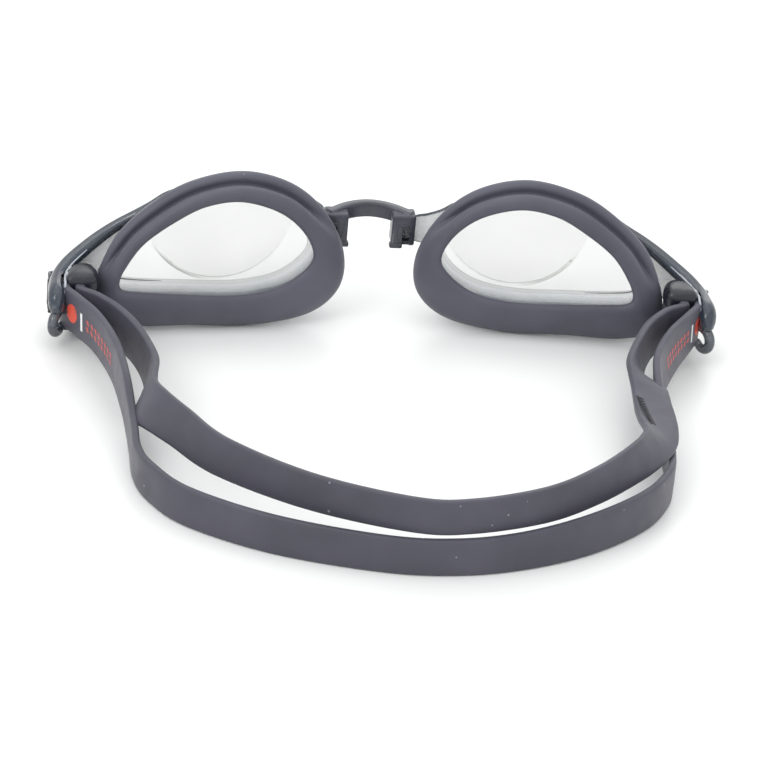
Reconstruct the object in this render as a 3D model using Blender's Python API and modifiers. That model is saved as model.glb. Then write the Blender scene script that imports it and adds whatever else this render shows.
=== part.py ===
"""Swim goggles with a split double-band strap, as an assembly of separate pieces, in metres.

+X is the wearer's right, +Y is forward through the lenses and +Z is up. The goggles stand on the lower
rims of their two gaskets and on the lower band of the strap, with the floor at z = 0 and the strap's
loop behind. The origin is under the centre of the whole object. Lengths below are in millimetres and
are multiplied by MM where they become coordinates.
"""

import math

import bmesh
import bpy
from mathutils import Matrix, Vector

MM = 0.001
GAP = 0.3  # clearance between two pieces that touch
CENTRE_Y = 2.96  # middle of the whole object's length; the lengths below are measured before it is taken off

# Eye cups
CUP_X = 39.0  # opening's centre, from the middle
CUP_Y = 49.5
CUP_YAW = math.radians(7)  # the temple side sits further back
CUP_PITCH = math.radians(7)  # the top leans forward
CUP_STATIONS = 44  # sections round the cup
# Pairs of points round the right cup, as (outward, up) from its centre: the edge of the face opening, then
# the outermost line of the wall. The opening has a flat sill and points towards the nose and the temple.
CUP_OUTLINES = (
    ((23.5, -6.8), (28.9, -9.0)), ((22.0, -3.0), (27.8, -3.2)), ((17.5, 3.0), (24.2, 4.8)),
    ((9.6, 8.5), (15.2, 12.7)), ((2.8, 11.7), (6.0, 17.3)), ((-5.5, 12.6), (-5.8, 19.2)),
    ((-14.4, 9.9), (-17.5, 15.9)), ((-20.4, 5.1), (-26.0, 8.6)), ((-23.3, -0.6), (-31.0, -1.8)),
    ((-21.3, -4.7), (-30.2, -11.0)), ((-14.8, -8.9), (-23.0, -17.3)), ((-5.2, -10.5), (-9.5, -19.8)),
    ((7.8, -10.0), (7.5, -19.5)), ((18.0, -9.2), (21.0, -19.3)), ((22.4, -8.6), (27.6, -16.4)),
)
# Sections through the cup's wall, as (share of the way from the opening to the outermost line, forward of
# the opening's plane).
GASKET_SECTION = (
    (0.0, 0.5), (0.1, -0.5), (0.3, -0.8), (0.5, -0.3), (0.61, 0.9), (0.57, 2.3), (0.62, 3.2), (0.8, 3.0),
    (0.95, 3.6), (1.0, 4.7), (0.93, 5.8), (0.8, 6.6), (0.37, 6.6), (0.22, 3.6), (0.1, 1.8),
)
RING_SECTION = ((0.49, 6.9), (0.84, 6.9), (0.86, 7.9), (0.72, 10.0), (0.56, 12.2), (0.42, 12.4))
LENS_WALL = ((0.44, 6.9), (0.36, 11.0), (0.33, 12.4), (0.27, 14.3), (0.21, 15.3), (0.15, 15.6))
LENS_FACE = ((0.7, 16.0), (0.35, 16.3))  # (share of the face's outline, forward)
LENS_THICKNESS = 1.4

# Strap: one 10.5 mm strap that splits into two 8 mm bands behind the head
STRAP_THICKNESS = 1.8
STRAP_MIDDLE_Z = 9.6
STRAP_HEIGHT = 10.5
BAND_HEIGHT = 8.2
KEEPER_THICKNESS = 3.6
KEEPER_HEIGHT = 12.6

# Strap bar inside each arm, that the strap turns round
BAR_X = 72.5
BAR_Y = 47.5
BAR_RADIUS = 1.5
TURN_RADIUS = 2.7  # to the middle of the strap's thickness

# Routes of the strap's middle line as (across, back, up, lean). The lean, in degrees, tips the top edge
# towards the inside of the loop. Routes on a side run back from the strap bar and give the distance
# from the middle. The free strap lies a little differently on its two sides.
OUTER_ROUTES = {
    "right": (
        (75.2, 47.2, 9.6, 0), (75.2, 42.4, 9.6, 0), (73.6, 37.0, 9.6, 0), (69.2, 26.5, 9.6, 0),
        (65.0, 15.0, 9.6, 0), (62.9, 6.5, 9.6, 8),
    ),
    "left": (
        (75.2, 47.2, 9.6, 0), (75.2, 42.4, 9.6, 0), (73.5, 37.6, 9.6, 0), (69.4, 28.6, 9.6, 0),
        (65.6, 13.5, 9.6, 0), (63.5, 0.0, 9.6, 0), (62.6, -4.8, 9.4, 4),
    ),
}
INNER_ROUTES = {
    "right": (
        (69.8, 47.2, 9.6, 0), (69.5, 41.5, 9.6, 0), (66.8, 34.4, 9.6, 0), (60.6, 23.2, 9.6, 4),
        (56.4, 12.0, 9.9, 22), (56.3, 6.5, 10.3, 36),
    ),
    "left": (
        (69.8, 47.2, 9.6, 0), (69.3, 40.5, 9.6, 0), (64.0, 29.2, 9.6, 0), (58.9, 13.7, 9.6, 2),
        (57.6, 5.0, 9.8, 8), (59.2, -4.8, 10.2, 20),
    ),
}
KEEPER_ROUTES = {
    "right": ((58.0, 4.9, 10.4, 42), (58.3, -3.0, 10.8, 50), (58.2, -12.5, 11.4, 50)),
    "left": ((60.5, -6.4, 10.4, 18), (60.4, -10.0, 10.8, 24), (60.0, -14.0, 11.2, 30)),
}
# Routes of the two bands, from the right keeper to the left one.
UPPER_ROUTE = (
    (58.0, -14.0, 12.6, 48), (55.8, -24.5, 13.0, 36), (48.6, -36.4, 13.4, 18), (37.8, -47.8, 13.4, 6),
    (25.0, -57.4, 13.4, 0), (8.0, -63.4, 13.4, 0), (-5.0, -63.2, 13.4, 0), (-26.3, -53.8, 13.4, 6),
    (-44.6, -38.2, 13.4, 16), (-53.6, -24.0, 13.2, 26), (-58.8, -15.2, 12.8, 30),
)
LOWER_ROUTE = (
    (60.8, -15.5, 4.1, 0), (60.2, -24.0, 4.1, 0), (57.8, -33.6, 4.1, 0), (49.4, -44.8, 4.1, 0),
    (35.5, -55.6, 4.1, 0), (20.0, -62.6, 4.1, 0), (5.0, -65.6, 4.1, 0), (-11.0, -64.6, 4.1, 0),
    (-33.5, -57.4, 4.1, 0), (-51.0, -46.4, 4.1, 0), (-58.9, -35.6, 4.1, 0), (-61.8, -26.5, 4.1, 0),
    (-62.2, -15.5, 4.1, 0),
)

# Arm that carries the strap, from the cup's temple side back to its rounded end
ARM_ROUTE = (
    (61.5, 57.4), (64.6, 57.7), (68.0, 57.0), (72.0, 55.3), (75.4, 52.4), (77.5, 48.8), (78.3, 44.5),
    (78.3, 40.0),
)
ARM_LOWS = (21.5, 17.5, 12.0, 8.0, 6.4, 5.8, 7.4, 9.8)
ARM_HIGHS = (25.5, 23.6, 21.4, 19.0, 17.0, 15.6, 15.2, 15.4)
ARM_THICKNESS = 1.2
ARM_END = (78.4, 38.8)
ARM_END_RADIUS = 1.8
ARM_END_LOW = 9.8
ARM_END_HIGH = 15.4

# Buckle clip inside the arm
BUCKLE_LOW = 2.3
BUCKLE_HIGH = 16.9
BUCKLE_PLATE = 1.75
CHEEK_INNER_X = 76.4
CHEEK_OUTER_X = 77.3
LOBE_LOW = 2.9

# Release lever outside the arm
LEVER_AXIS = (79.3, 49.8)
LEVER_LOW = 7.6
LEVER_HIGH = 12.2
LEVER_THICKNESS = 1.0
LEVER_KNUCKLE_RADIUS = 1.1
EAR_HEIGHT = 1.5
PIN_RADIUS = 0.5

# Nose bridge
BLOCK_INNER_X = 4.7
BLOCK_OUTER_X = 10.6
BLOCK_LOW = 16.0
BLOCK_HIGH = 25.0
BLOCK_BACK_Y = 65.0
BLOCK_FRONT_Y = 70.0
TAB_THICKNESS = 1.8
TAB_LOW = 17.8
TAB_HIGH = 23.2


def clear_scene():
    for thing in list(bpy.data.objects):
        bpy.data.objects.remove(thing, do_unlink=True)


def new_collection(name):
    found = bpy.data.collections.new(name)
    bpy.context.scene.collection.children.link(found)
    return found


def new_material(name, colour, roughness, metallic=0.0, transmission=0.0):
    material = bpy.data.materials.new(name)
    material.use_nodes = True
    shader = material.node_tree.nodes["Principled BSDF"]
    shader.inputs["Base Color"].default_value = (*colour, 1.0)
    shader.inputs["Roughness"].default_value = roughness
    shader.inputs["Metallic"].default_value = metallic
    shader.inputs["Transmission Weight"].default_value = transmission
    return material


def catmull_rom(before, start, end, after, share):
    return 0.5 * (
        2 * start
        + (end - before) * share
        + (2 * before - 5 * start + 4 * end - after) * share**2
        + (3 * start - before - 3 * end + after) * share**3
    )


def smooth_line(points, count, closed=False):
    """Evenly spaced points along a smooth curve through the given ones."""
    knots = [Vector(point) for point in points]
    spans = len(knots) if closed else len(knots) - 1
    if closed:
        around = [knots[-1], *knots, knots[0], knots[1]]
    else:
        around = [2 * knots[0] - knots[1], *knots, 2 * knots[-1] - knots[-2]]
    fine = []
    for span in range(spans):
        for step in range(24):
            fine.append(catmull_rom(*around[span : span + 4], step / 24))
    fine.append(knots[0].copy() if closed else knots[-1].copy())
    lengths = [0.0]
    for a, b in zip(fine, fine[1:]):
        lengths.append(lengths[-1] + (b - a).length)
    line = []
    span = 0
    total = count if closed else count - 1
    for index in range(count):
        wanted = lengths[-1] * index / total
        while span < len(fine) - 2 and lengths[span + 1] < wanted:
            span += 1
        share = (wanted - lengths[span]) / (lengths[span + 1] - lengths[span])
        line.append(fine[span].lerp(fine[span + 1], share))
    return line


def add_object(name, mesh, material, collection, side=1):
    """Puts a mesh made for the right side into the scene, mirrored for side -1."""
    if side < 0:
        mesh.transform(Matrix.Scale(-1, 4, (1, 0, 0)))
        mesh.flip_normals()
    mesh.materials.append(material)
    mesh.shade_smooth()
    mesh.set_sharp_from_angle(angle=math.radians(35))
    thing = bpy.data.objects.new(name, mesh)
    collection.objects.link(thing)
    return thing


def place_origin(thing, x, y, z):
    """Moves the object's origin to a point without moving its shape."""
    point = Vector((x, y - CENTRE_Y, z)) * MM
    thing.data.transform(Matrix.Translation(-point))
    thing.location = point


def mesh_from(name, shape, outward=True):
    """Turns a bmesh in millimetres into a centred mesh in metres, with its faces pointing out."""
    if outward:
        bmesh.ops.recalc_face_normals(shape, faces=shape.faces)
    bmesh.ops.translate(shape, vec=(0, -CENTRE_Y, 0), verts=shape.verts)
    bmesh.ops.scale(shape, vec=(MM, MM, MM), verts=shape.verts)
    mesh = bpy.data.meshes.new(name)
    shape.to_mesh(mesh)
    shape.free()
    return mesh


def skin_rings(shape, rings, closed=False):
    """Joins each ring of points to the next with faces, and the last to the first when closed."""
    loops = [[shape.verts.new(point) for point in ring] for ring in rings]
    pairs = list(zip(loops, loops[1:]))
    if closed:
        pairs.append((loops[-1], loops[0]))
    for near, far in pairs:
        for index in range(len(near)):
            after = (index + 1) % len(near)
            shape.faces.new((near[index], near[after], far[after], far[index]))
    return loops


def loft(name, rings, closed=False):
    """A closed body through rings of points: a ring-shaped one when closed, else one with flat ends."""
    shape = bmesh.new()
    loops = skin_rings(shape, rings, closed)
    if not closed:
        shape.faces.new(loops[0])
        shape.faces.new(loops[-1])
    return mesh_from(name, shape)


def strip_mesh(name, line, lows, highs, thickness):
    """A strip on edge along a plan line, from its low edge to its high edge, with flat ends."""
    rings = []
    for index, point in enumerate(line):
        along = (line[min(index + 1, len(line) - 1)] - line[max(index - 1, 0)]).normalized()
        across = Vector((-along.y, along.x)) * thickness / 2
        left, right = point + across, point - across
        rings.append(
            [
                Vector((left.x, left.y, lows[index])),
                Vector((right.x, right.y, lows[index])),
                Vector((right.x, right.y, highs[index])),
                Vector((left.x, left.y, highs[index])),
            ]
        )
    return loft(name, rings)


def strap_mesh(name, route, count, height, thickness, inward=1):
    """A flat strap along a route of (across, back, up, lean); inward is the side that a lean tips to."""
    line = smooth_line([(x, y, z, math.radians(lean)) for x, y, z, lean in route], count)
    heights = height if isinstance(height, list) else [height] * count
    rings = []
    for index, point in enumerate(line):
        along = (line[min(index + 1, count - 1)] - line[max(index - 1, 0)]).to_3d().normalized()
        inside = Vector((along.y, -along.x, 0)).normalized() * inward
        up = Vector((0, 0, 1))
        edge = (up * math.cos(point.w) + inside * math.sin(point.w)) * heights[index] / 2
        face = (inside * math.cos(point.w) - up * math.sin(point.w)) * thickness / 2
        middle = point.to_3d()
        rings.append([middle + edge + face, middle + edge - face, middle - edge - face, middle - edge + face])
    return loft(name, rings)


def box_mesh(name, low, high):
    shape = bmesh.new()
    bmesh.ops.create_cube(shape, size=1.0)
    low, high = Vector(low), Vector(high)
    bmesh.ops.scale(shape, vec=high - low, verts=shape.verts)
    bmesh.ops.translate(shape, vec=(low + high) / 2, verts=shape.verts)
    return mesh_from(name, shape)


def cylinder_mesh(name, centre, radius, low, high, sides=24):
    shape = bmesh.new()
    bmesh.ops.create_cone(
        shape, cap_ends=True, segments=sides, radius1=radius, radius2=radius, depth=high - low
    )
    bmesh.ops.translate(shape, vec=(centre[0], centre[1], (low + high) / 2), verts=shape.verts)
    return mesh_from(name, shape)


def outline_mesh(name, outline, low, high):
    """A flat plan outline raised from low to high."""
    shape = bmesh.new()
    bottom = [shape.verts.new((x, y, low)) for x, y in outline]
    face = shape.faces.new(bottom)
    grown = bmesh.ops.extrude_face_region(shape, geom=[face])
    raised = [item for item in grown["geom"] if isinstance(item, bmesh.types.BMVert)]
    bmesh.ops.translate(shape, vec=(0, 0, high - low), verts=raised)
    return mesh_from(name, shape)


def combine(thing, helper, operation):
    modifier = thing.modifiers.new(helper.name, "BOOLEAN")
    modifier.operation = operation
    modifier.object = helper
    modifier.solver = "EXACT"


def helper_object(name, mesh, cutters, side, material):
    helper = add_object(name, mesh, material, cutters, side)
    helper.hide_render = True
    helper.display_type = "WIRE"
    return helper


# --- Eye cups ---


def cup_stations():
    """Pairs of points round the cup: on the opening's edge and on the outermost line."""
    line = smooth_line([(*inner, *outer) for inner, outer in CUP_OUTLINES], CUP_STATIONS, closed=True)
    return [(Vector(point[:2]), Vector(point[2:])) for point in line]


def cup_matrix(height):
    """Takes (outward, up, forward) in the right cup to the object's axes."""
    across = Vector((math.cos(CUP_YAW), -math.sin(CUP_YAW), 0))
    level = Vector((math.sin(CUP_YAW), math.cos(CUP_YAW), 0))
    up = level * math.sin(CUP_PITCH) + Vector((0, 0, math.cos(CUP_PITCH)))
    forward = level * math.cos(CUP_PITCH) - Vector((0, 0, math.sin(CUP_PITCH)))
    turn = Matrix((across, up, forward)).transposed().to_4x4()
    return Matrix.Translation((CUP_X, CUP_Y, height)) @ turn


def wall_point(station, share, forward):
    spot = station[0].lerp(station[1], share)
    return Vector((spot.x, spot.y, forward))


def cup_height():
    """Height of the opening's centre that puts the gasket's lowest point on the floor."""
    place = cup_matrix(0)
    lowest = min(
        (place @ wall_point(station, *spot)).z for station in cup_stations() for spot in GASKET_SECTION
    )
    return -lowest


def ring_mesh(name, section, place):
    """A section carried all the way round the cup."""
    rings = [[place @ wall_point(station, *spot) for spot in section] for station in cup_stations()]
    return loft(name, rings, closed=True)


def make_gasket(name, side, place, material, parts):
    return add_object(name, ring_mesh(name, GASKET_SECTION, place), material, parts, side)


def make_lens(name, side, place, material, parts):
    """A tray: a side wall inside the frame's ring and a gently domed face, made thick inward."""
    stations = cup_stations()
    rings = [[place @ wall_point(station, *spot) for station in stations] for spot in LENS_WALL]
    edge = [wall_point(station, *LENS_WALL[-1]) for station in stations]
    for share, forward in LENS_FACE:
        rings.append([place @ Vector((spot.x * share, spot.y * share, forward)) for spot in edge])
    shape = bmesh.new()
    loops = skin_rings(shape, rings)
    centre = shape.verts.new(place @ Vector((0, 0, LENS_FACE[-1][1] + 0.1)))
    for index, vertex in enumerate(loops[-1]):
        shape.faces.new((vertex, loops[-1][(index + 1) % len(loops[-1])], centre))
    bmesh.ops.recalc_face_normals(shape, faces=shape.faces)
    front = max(shape.faces, key=lambda face: face.calc_center_median().y)
    if front.normal.y < 0:
        bmesh.ops.reverse_faces(shape, faces=shape.faces)
    thing = add_object(name, mesh_from(name, shape, outward=False), material, parts, side)
    wall = thing.modifiers.new("Thickness", "SOLIDIFY")
    wall.thickness = LENS_THICKNESS * MM
    wall.offset = -1
    wall.use_even_offset = True
    return thing


def make_frame(name, side, place, material, parts, cutters):
    """The ring round the lens, the arm with its rounded end and lever ears, and the nose tab."""
    thing = add_object(name, ring_mesh(name, RING_SECTION, place), material, parts, side)
    count = 22
    line = smooth_line(ARM_ROUTE, count)
    lows = [point.x for point in smooth_line([(low, 10 * i) for i, low in enumerate(ARM_LOWS)], count)]
    highs = [point.x for point in smooth_line([(high, 10 * i) for i, high in enumerate(ARM_HIGHS)], count)]
    arm = strip_mesh(f"{name}_arm", line, lows, highs, ARM_THICKNESS)
    combine(thing, helper_object(f"{name}_arm", arm, cutters, side, material), "UNION")
    end = cylinder_mesh(f"{name}_arm_end", ARM_END, ARM_END_RADIUS, ARM_END_LOW, ARM_END_HIGH)
    combine(thing, helper_object(f"{name}_arm_end", end, cutters, side, material), "UNION")
    ears = (
        (LEVER_LOW - GAP - EAR_HEIGHT, LEVER_LOW - GAP),
        (LEVER_HIGH + GAP, LEVER_HIGH + GAP + EAR_HEIGHT),
    )
    for number, (low, high) in enumerate(ears):
        ear_name = f"{name}_ear_{number}"
        ear = cylinder_mesh(ear_name, LEVER_AXIS, LEVER_KNUCKLE_RADIUS, low, high)
        root = box_mesh(
            f"{ear_name}_root",
            (76.9, LEVER_AXIS[1] - LEVER_KNUCKLE_RADIUS, low),
            (LEVER_AXIS[0], LEVER_AXIS[1] + LEVER_KNUCKLE_RADIUS, high),
        )
        bore = cylinder_mesh(f"{ear_name}_bore", LEVER_AXIS, PIN_RADIUS + GAP, low - 1, high + 1, 16)
        combine(thing, helper_object(ear_name, ear, cutters, side, material), "UNION")
        combine(thing, helper_object(f"{ear_name}_root", root, cutters, side, material), "UNION")
        combine(thing, helper_object(f"{ear_name}_bore", bore, cutters, side, material), "DIFFERENCE")
    window = box_mesh(f"{name}_window", (75.0, 42.7, 8.2), (82.0, 46.2, 11.8))
    combine(thing, helper_object(f"{name}_window", window, cutters, side, material), "DIFFERENCE")
    tab_y = (BLOCK_BACK_Y + BLOCK_FRONT_Y) / 2
    tab_route = ((13.2, 62.2), (11.9, 64.4), (9.8, 66.8), (BLOCK_INNER_X + 2.6, tab_y))
    tab = strip_mesh(f"{name}_tab", smooth_line(tab_route, 8), [TAB_LOW] * 8, [TAB_HIGH] * 8, TAB_THICKNESS)
    combine(thing, helper_object(f"{name}_tab", tab, cutters, side, material), "UNION")
    return thing


# --- Strap holders ---


def make_strap_bar(name, side, material, parts):
    mesh = cylinder_mesh(name, (BAR_X, BAR_Y), BAR_RADIUS, BUCKLE_LOW + BUCKLE_PLATE + GAP,
                         BUCKLE_HIGH - BUCKLE_PLATE - GAP)
    return add_object(name, mesh, material, parts, side)


def make_buckle(name, side, material, parts, cutters):
    """A clip inside the arm: a cheek, a plate above and below the strap's turn, and a lobe below the arm's end."""
    cheek = box_mesh(name, (CHEEK_INNER_X, 41.2, BUCKLE_LOW), (CHEEK_OUTER_X, 46.2, BUCKLE_HIGH))
    thing = add_object(name, cheek, material, parts, side)
    nose = [
        (BAR_X + 3.6 * math.cos(angle), BAR_Y + 3.9 * math.sin(angle))
        for angle in (math.pi * step / 12 for step in range(13))
    ]
    outline = [
        (CHEEK_OUTER_X, 43.0), (CHEEK_OUTER_X, 46.2), *nose, (BAR_X - 3.6, 43.6), (BAR_X - 1.4, 42.2),
    ]
    for label, low in (("top", BUCKLE_HIGH - BUCKLE_PLATE), ("bottom", BUCKLE_LOW)):
        plate = outline_mesh(f"{name}_{label}", outline, low, low + BUCKLE_PLATE)
        combine(thing, helper_object(f"{name}_{label}", plate, cutters, side, material), "UNION")
    lobe = cylinder_mesh(f"{name}_lobe", ARM_END, ARM_END_RADIUS, LOBE_LOW, ARM_END_LOW - GAP)
    combine(thing, helper_object(f"{name}_lobe", lobe, cutters, side, material), "UNION")
    neck = box_mesh(f"{name}_neck", (CHEEK_INNER_X, 38.6, LOBE_LOW), (CHEEK_OUTER_X + 0.9, 42.0, 5.4))
    combine(thing, helper_object(f"{name}_neck", neck, cutters, side, material), "UNION")
    window = box_mesh(f"{name}_window", (75.0, 42.6, 8.2), (78.0, 45.6, 11.8))
    combine(thing, helper_object(f"{name}_window", window, cutters, side, material), "DIFFERENCE")
    return thing


def make_release_lever(name, side, material, parts, cutters):
    """A thumb plate outside the arm, turning on the pin at its front, with a tooth in the arm's window."""
    x = LEVER_AXIS[0] + 0.5
    line = smooth_line(((x, 49.2), (x, 46.0), (x, 42.5), (x + 0.1, 41.3)), 8)
    plate = strip_mesh(name, line, [LEVER_LOW] * 8, [LEVER_HIGH] * 8, LEVER_THICKNESS)
    thing = add_object(name, plate, material, parts, side)
    knuckle = cylinder_mesh(f"{name}_knuckle", LEVER_AXIS, LEVER_KNUCKLE_RADIUS, LEVER_LOW, LEVER_HIGH)
    combine(thing, helper_object(f"{name}_knuckle", knuckle, cutters, side, material), "UNION")
    tooth = box_mesh(f"{name}_tooth", (77.8, 43.6, 8.8), (x, 45.4, 11.2))
    combine(thing, helper_object(f"{name}_tooth", tooth, cutters, side, material), "UNION")
    bore = cylinder_mesh(f"{name}_bore", LEVER_AXIS, PIN_RADIUS + GAP, LEVER_LOW - 1, LEVER_HIGH + 1, 16)
    combine(thing, helper_object(f"{name}_bore", bore, cutters, side, material), "DIFFERENCE")
    place_origin(thing, side * LEVER_AXIS[0], LEVER_AXIS[1], (LEVER_LOW + LEVER_HIGH) / 2)
    return thing


def make_lever_pin(name, side, material, parts):
    reach = GAP + EAR_HEIGHT
    mesh = cylinder_mesh(name, LEVER_AXIS, PIN_RADIUS, LEVER_LOW - reach, LEVER_HIGH + reach, 16)
    return add_object(name, mesh, material, parts, side)


# --- Strap ---


def make_strap_layer(name, side, route, material, parts):
    return add_object(name, strap_mesh(name, route, 20, STRAP_HEIGHT, STRAP_THICKNESS), material, parts, side)


def make_strap_turn(name, side, material, parts):
    """Half a turn round the bar, joining the outer layer to the inner one."""
    route = [
        (BAR_X + TURN_RADIUS * math.cos(angle), BAR_Y + TURN_RADIUS * math.sin(angle), STRAP_MIDDLE_Z, 0)
        for angle in (math.pi * step / 12 for step in range(13))
    ]
    return add_object(name, strap_mesh(name, route, 13, STRAP_HEIGHT, STRAP_THICKNESS), material, parts, side)


def make_keeper(name, side, route, material, parts):
    """The thick part where the two layers cross, swelling a little in its middle."""
    count = 8
    heights = [KEEPER_HEIGHT - 1.6 * math.cos(math.pi * i / (count - 1)) ** 2 for i in range(count)]
    mesh = strap_mesh(name, route, count, heights, KEEPER_THICKNESS)
    return add_object(name, mesh, material, parts, side)


def make_band(name, route, material, parts):
    return add_object(name, strap_mesh(name, route, 60, BAND_HEIGHT, STRAP_THICKNESS), material, parts)


# --- Nose bridge ---


def make_nose_bridge(name, material, parts, cutters):
    """An arch over the nose between two clip blocks, each slotted for a frame's nose tab."""
    route = ((8.0, 67.5, 23.4), (5.4, 68.8, 23.6), (3.4, 70.1, 24.2), (0.0, 70.9, 24.5))
    line = smooth_line(route, 8)
    line[-1].x = 0.0
    rings = []
    for index, point in enumerate(line):
        along = (line[min(index + 1, 7)] - line[max(index - 1, 0)]).normalized()
        if index == 7:
            along = Vector((-1, 0, 0))
        across = Vector((-along.y, along.x, 0)).normalized() * 1.7
        rise = Vector((0, 0, 1.25))
        rings.append([point + across + rise, point - across + rise, point - across - rise, point + across - rise])
    shape = bmesh.new()
    loops = skin_rings(shape, rings)
    shape.faces.new(loops[0])
    thing = add_object(name, mesh_from(name, shape), material, parts)
    mirror = thing.modifiers.new("Other half", "MIRROR")
    mirror.merge_threshold = 0.00005
    slot_y = (BLOCK_BACK_Y + BLOCK_FRONT_Y) / 2
    for side, label in ((1, "right"), (-1, "left")):
        block = box_mesh(
            f"{name}_{label}_block",
            (BLOCK_INNER_X, BLOCK_BACK_Y, BLOCK_LOW),
            (BLOCK_OUTER_X, BLOCK_FRONT_Y, BLOCK_HIGH),
        )
        combine(thing, helper_object(f"{name}_{label}_block", block, cutters, side, material), "UNION")
    for side, label in ((1, "right"), (-1, "left")):
        slot = box_mesh(
            f"{name}_{label}_slot",
            (BLOCK_INNER_X + 2.6 - GAP, BLOCK_BACK_Y - 1, TAB_LOW - GAP),
            (BLOCK_OUTER_X + 1, slot_y + TAB_THICKNESS / 2 + GAP, TAB_HIGH + GAP),
        )
        combine(thing, helper_object(f"{name}_{label}_slot", slot, cutters, side, material), "DIFFERENCE")
    place_origin(thing, 0, slot_y, (BLOCK_LOW + BLOCK_HIGH) / 2)
    return thing


def build():
    clear_scene()
    parts = new_collection("Swim goggles")
    cutters = new_collection("Cutters")
    silicone = new_material("Strap silicone", (0.075, 0.075, 0.085), 0.55)
    gasket_silicone = new_material("Gasket silicone", (0.06, 0.06, 0.07), 0.6)
    clear = new_material("Clear polycarbonate", (0.93, 0.94, 0.94), 0.05, transmission=0.9)
    smoke = new_material("Smoke polycarbonate", (0.16, 0.19, 0.22), 0.12, transmission=0.4)
    black = new_material("Black nylon", (0.05, 0.055, 0.065), 0.25)
    steel = new_material("Steel", (0.6, 0.6, 0.62), 0.3, metallic=1.0)

    place = cup_matrix(cup_height())
    for side, label in ((1, "right"), (-1, "left")):
        make_lens(f"{label}_lens", side, place, clear, parts)
        make_frame(f"{label}_frame", side, place, smoke, parts, cutters)
        make_gasket(f"{label}_gasket", side, place, gasket_silicone, parts)
        make_buckle(f"{label}_buckle", side, black, parts, cutters)
        make_strap_bar(f"{label}_strap_bar", side, black, parts)
        make_release_lever(f"{label}_release_lever", side, black, parts, cutters)
        make_lever_pin(f"{label}_lever_pin", side, steel, parts)
        make_strap_layer(f"{label}_strap_outer", side, OUTER_ROUTES[label], silicone, parts)
        make_strap_turn(f"{label}_strap_turn", side, silicone, parts)
        make_strap_layer(f"{label}_strap_inner", side, INNER_ROUTES[label], silicone, parts)
        make_keeper(f"{label}_strap_keeper", side, KEEPER_ROUTES[label], silicone, parts)
    make_nose_bridge("nose_bridge", black, parts, cutters)
    make_band("upper_band", UPPER_ROUTE, silicone, parts)
    make_band("lower_band", LOWER_ROUTE, silicone, parts)


build()
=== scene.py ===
"""The looks of the swim goggles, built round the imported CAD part.

Lengths are in millimetres, measured as in the CAD source: +X to the wearer's right, +Y forward
through the lenses, +Z up. CENTRE_Y is taken off y where they become metres, because the frame is
centred front to back. Side pieces are made for the right side and mirrored for the left.
"""

import math

import bmesh
import bpy
from mathutils import Matrix, Vector


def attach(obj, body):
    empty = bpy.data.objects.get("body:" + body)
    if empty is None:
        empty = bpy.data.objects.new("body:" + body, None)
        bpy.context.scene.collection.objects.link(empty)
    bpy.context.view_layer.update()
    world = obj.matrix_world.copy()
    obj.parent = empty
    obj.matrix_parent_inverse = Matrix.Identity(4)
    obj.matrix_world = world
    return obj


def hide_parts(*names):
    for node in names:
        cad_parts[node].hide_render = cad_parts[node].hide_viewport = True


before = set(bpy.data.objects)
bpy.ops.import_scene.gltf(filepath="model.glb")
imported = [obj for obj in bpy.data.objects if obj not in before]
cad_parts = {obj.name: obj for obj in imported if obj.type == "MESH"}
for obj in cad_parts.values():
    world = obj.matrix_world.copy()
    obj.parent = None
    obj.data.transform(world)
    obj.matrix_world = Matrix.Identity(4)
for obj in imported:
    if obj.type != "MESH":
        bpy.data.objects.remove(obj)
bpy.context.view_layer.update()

MM = 0.001
CENTRE_Y = 2.96
CENTRE = Vector((0, CENTRE_Y, 0))
SIDES = ((1, "right"), (-1, "left"))


# --- Mesh helpers ---


def spline(knots, count, closed=False):
    """Evenly spaced points on a smooth curve; knots may carry more values after x, y and z."""
    fineness = 24
    knots = [[float(value) for value in knot] for knot in knots]
    spans = len(knots) if closed else len(knots) - 1
    if closed:
        around = [knots[-1], *knots, knots[0], knots[1]]
    else:
        first = [2 * a - b for a, b in zip(knots[0], knots[1])]
        last = [2 * a - b for a, b in zip(knots[-1], knots[-2])]
        around = [first, *knots, last]
    fine = []
    for span in range(spans):
        p, a, b, q = around[span : span + 4]
        for step in range(fineness):
            t = step / fineness
            fine.append(
                [
                    0.5
                    * (
                        2 * a[i]
                        + (b[i] - p[i]) * t
                        + (2 * p[i] - 5 * a[i] + 4 * b[i] - q[i]) * t**2
                        + (3 * a[i] - p[i] - 3 * b[i] + q[i]) * t**3
                    )
                    for i in range(len(a))
                ]
            )
    fine.append(list(knots[0] if closed else knots[-1]))
    lengths = [0.0]
    for a, b in zip(fine, fine[1:]):
        lengths.append(lengths[-1] + math.dist(a[:3], b[:3]))
    line = []
    span = 0
    total = count if closed else count - 1
    for index in range(count):
        wanted = lengths[-1] * index / total
        while span < len(fine) - 2 and lengths[span + 1] < wanted:
            span += 1
        share = (wanted - lengths[span]) / max(lengths[span + 1] - lengths[span], 1e-9)
        line.append([a + (b - a) * share for a, b in zip(fine[span], fine[span + 1])])
    return line


def heading(line, index, size=3, closed=False):
    """The unit direction of a line at one of its points, in its first two or three values."""
    if closed:
        before, after = line[index - 1], line[(index + 1) % len(line)]
    else:
        before, after = line[max(index - 1, 0)], line[min(index + 1, len(line) - 1)]
    return (Vector(after[:size]) - Vector(before[:size])).normalized()


def ramp(value, low, high):
    """0 below low, 1 above high and smooth between; low may be above high."""
    t = max(0.0, min(1.0, (value - low) / (high - low)))
    return t * t * (3 - 2 * t)


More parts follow.
